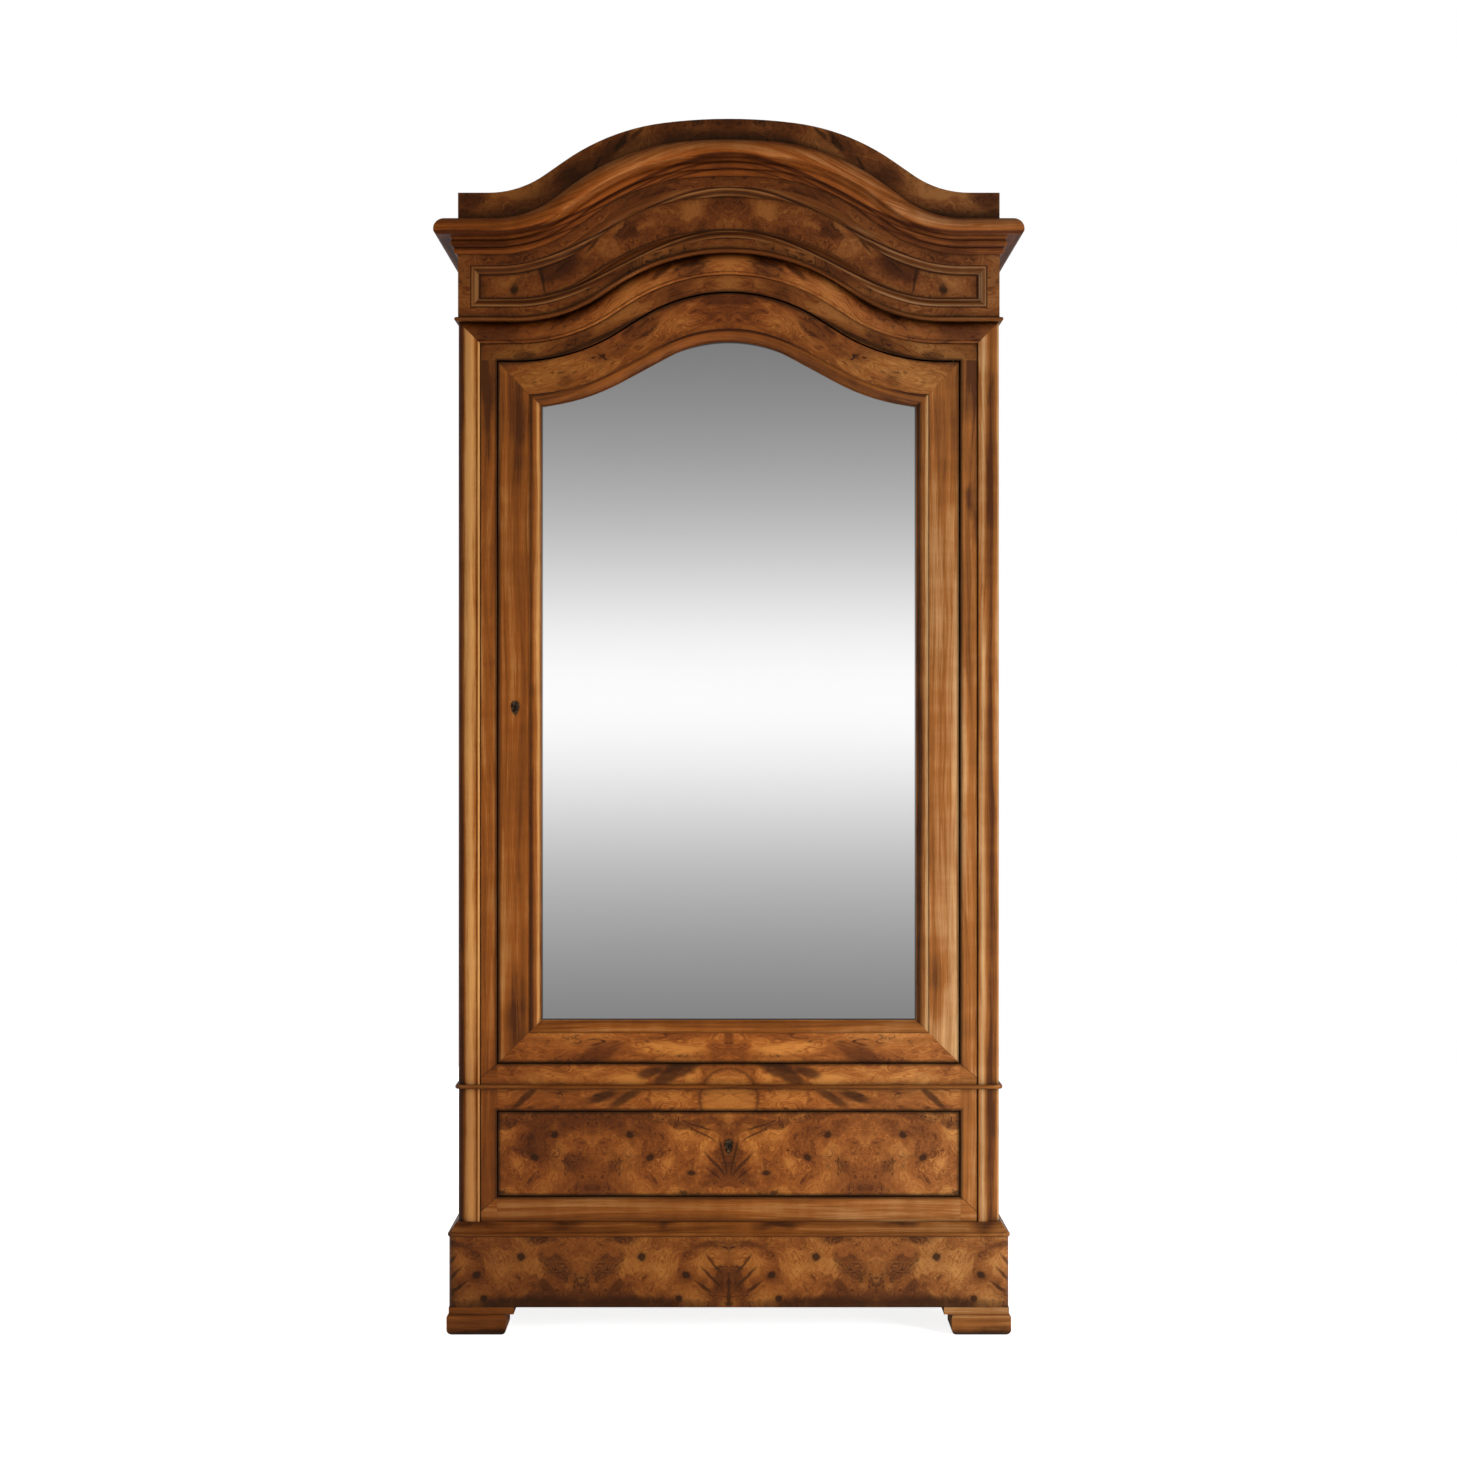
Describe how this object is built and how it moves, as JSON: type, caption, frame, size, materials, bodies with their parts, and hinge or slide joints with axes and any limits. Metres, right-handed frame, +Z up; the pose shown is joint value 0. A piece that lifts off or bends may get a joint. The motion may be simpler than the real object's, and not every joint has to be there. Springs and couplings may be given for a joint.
{
  "type": "linen cupboard",
  "caption": "Tall arched walnut linen cupboard with a mirrored door on hidden pivots over a deep drawer, on a plinth with block feet.",
  "frame": {"origin": "on the floor under the middle of the cupboard's overall box", "axes": "+Z up, -Y out of the front, +X to the right when the front is seen"},
  "size_m": [1.16, 0.545, 2.4],
  "materials": {
    "walnut": "waxed satin",
    "walnut_burl": "polished veneer",
    "inner_wood": "raw, darkened with age",
    "silvered_mirror": "polished",
    "brass": "aged",
    "steel": "oiled"
  },
  "bodies": {
    "carcase": {"back_frame": "inner_wood", "back_panels": "inner_wood", "band_moulding": "walnut", "cabinet_floor": "inner_wood", "cornice_front": "walnut", "cornice_left": "walnut", "cornice_right": "walnut", "crest_blocks": "inner_wood", "crest_board": "walnut_burl", "door_pivot_pins": "brass", "drawer_runners": "inner_wood", "foot_front_left": "walnut", "foot_front_right": "walnut", "foot_rear_left": "walnut", "foot_rear_right": "walnut", "frame_stile_left": "walnut", "frame_stile_right": "walnut", "frieze_board": "walnut_burl", "frieze_moulding": "walnut", "frieze_panel": "walnut_burl", "frieze_returns": "walnut", "neck_bead": "walnut", "plinth_front": "walnut_burl", "plinth_left": "walnut", "plinth_moulding": "walnut", "plinth_rear": "inner_wood", "plinth_right": "walnut", "post_front_left": "walnut", "post_front_right": "walnut", "post_rear_left": "walnut", "post_rear_right": "walnut", "rail_arched": "walnut_burl", "rail_lower": "walnut_burl", "rail_waist": "walnut_burl", "shelf_cleats": "inner_wood", "shelf_lower": "inner_wood", "shelf_upper": "inner_wood", "side_panels": "walnut", "side_rails": "walnut", "top_board": "inner_wood", "waist_bead": "walnut"},
    "door": {"door_stile_lock": "walnut", "door_stile_hinge": "walnut", "door_rail_arched": "walnut_burl", "door_rail_foot": "walnut_burl", "mirror_moulding": "walnut", "mirror_glass": "silvered_mirror", "mirror_backing": "inner_wood", "door_lock": "steel", "door_escutcheon": "brass", "door_pivot_plates": "brass"},
    "drawer": {"drawer_front": "walnut_burl", "drawer_side_left": "inner_wood", "drawer_side_right": "inner_wood", "drawer_bottom": "inner_wood", "drawer_back": "inner_wood", "drawer_lock": "steel", "drawer_escutcheon": "brass"},
    "door_bolt": {"door_lock_bolt": "steel"},
    "drawer_bolt": {"drawer_lock_bolt": "steel"}
  },
  "joints": [
    {"name": "door_hinge", "type": "hinge", "parent": "carcase", "child": "door", "pos_m": [0.443, -0.2175, 0.533], "axis": [0, 0, 1], "range_deg": [0, 110]},
    {"name": "drawer_slide", "type": "slide", "parent": "carcase", "child": "drawer", "axis": [0, -1, 0], "range_m": [0, 0.34]},
    {"name": "door_bolt_throw", "type": "slide", "parent": "door", "child": "door_bolt", "axis": [-1, 0, 0], "range_m": [0, 0.008]},
    {"name": "drawer_bolt_throw", "type": "slide", "parent": "drawer", "child": "drawer_bolt", "axis": [0, 0, 1], "range_m": [0, 0.008]}
  ]
}
